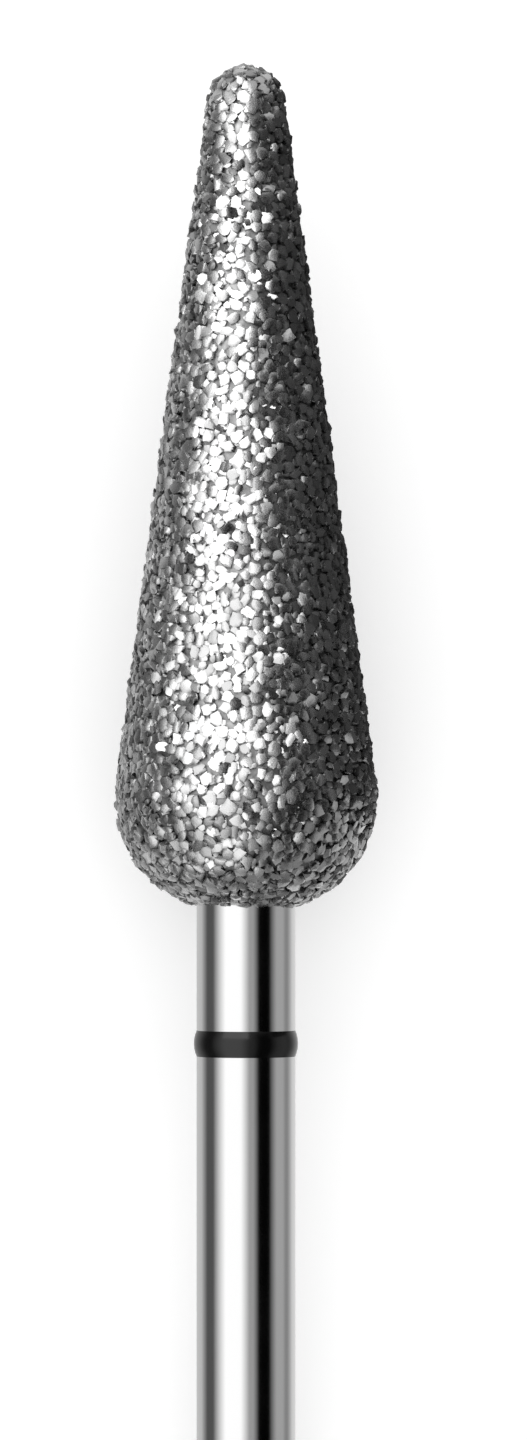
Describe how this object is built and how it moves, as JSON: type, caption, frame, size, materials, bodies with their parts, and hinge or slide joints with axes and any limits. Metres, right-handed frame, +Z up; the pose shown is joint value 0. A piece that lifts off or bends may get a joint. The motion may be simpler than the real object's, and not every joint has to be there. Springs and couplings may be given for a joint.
{
  "type": "dental bur",
  "caption": "Tapered, round-tipped diamond grinding head on a plain steel shank for a straight handpiece, with a black ring below the head.",
  "frame": {"origin": "on the surface that the bur lies on, under the middle of its length", "axes": "+X along the bur towards the head's tip, which is lifted by about 4 degrees; +Z up"},
  "size_m": [0.0444, 0.0062, 0.0062],
  "materials": {
    "shank_steel": "fine ground and polished stainless steel",
    "diamond_grit": "coarse diamond grains in electroplated nickel, rough",
    "ring_lacquer": "smooth black lacquer, soft gloss"
  },
  "bodies": {
    "root": {"steel_blank": "shank_steel", "diamond_coat": "diamond_grit", "colour_ring": "ring_lacquer"}
  },
  "joints": []
}
